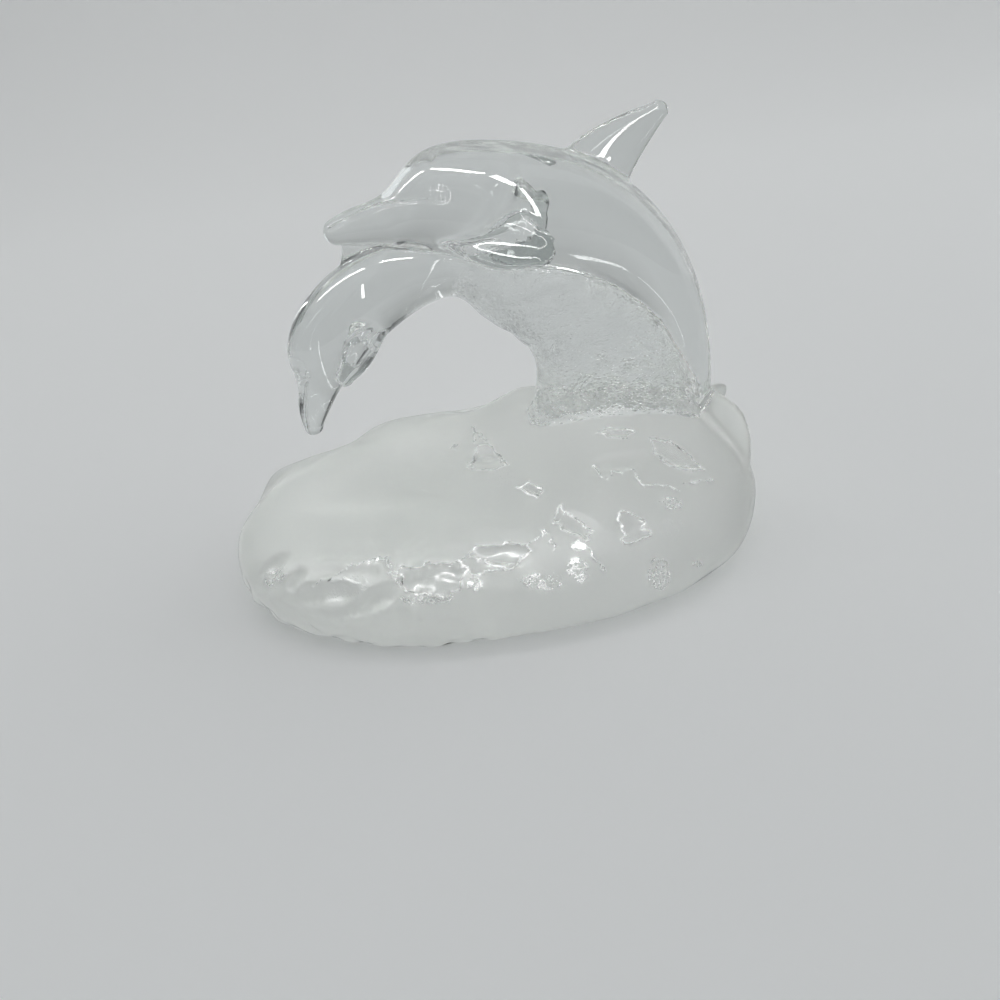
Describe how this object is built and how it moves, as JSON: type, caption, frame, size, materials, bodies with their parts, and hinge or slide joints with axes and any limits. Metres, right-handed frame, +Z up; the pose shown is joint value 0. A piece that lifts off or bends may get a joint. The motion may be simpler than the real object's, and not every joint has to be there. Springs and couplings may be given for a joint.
{
  "type": "glass dolphin figurine",
  "caption": "Cast clear glass figurine of leaping dolphins carried by a wave column on a wide frosted sea-shaped base with a flat underside.",
  "frame": {"origin": "middle of the flat underside, at the middle of the base's length and depth", "axes": "+X along the base from the heads to the tail, +Y away from the viewer, +Z up"},
  "size_m": [0.19, 0.134, 0.1465],
  "materials": {
    "clear_glass": "cast clear glass, fire-polished on the dolphins, icy and rippled on the wave, satin frosted on the sea base"
  },
  "bodies": {
    "root": {"glass_dolphins": "clear_glass"}
  },
  "joints": []
}
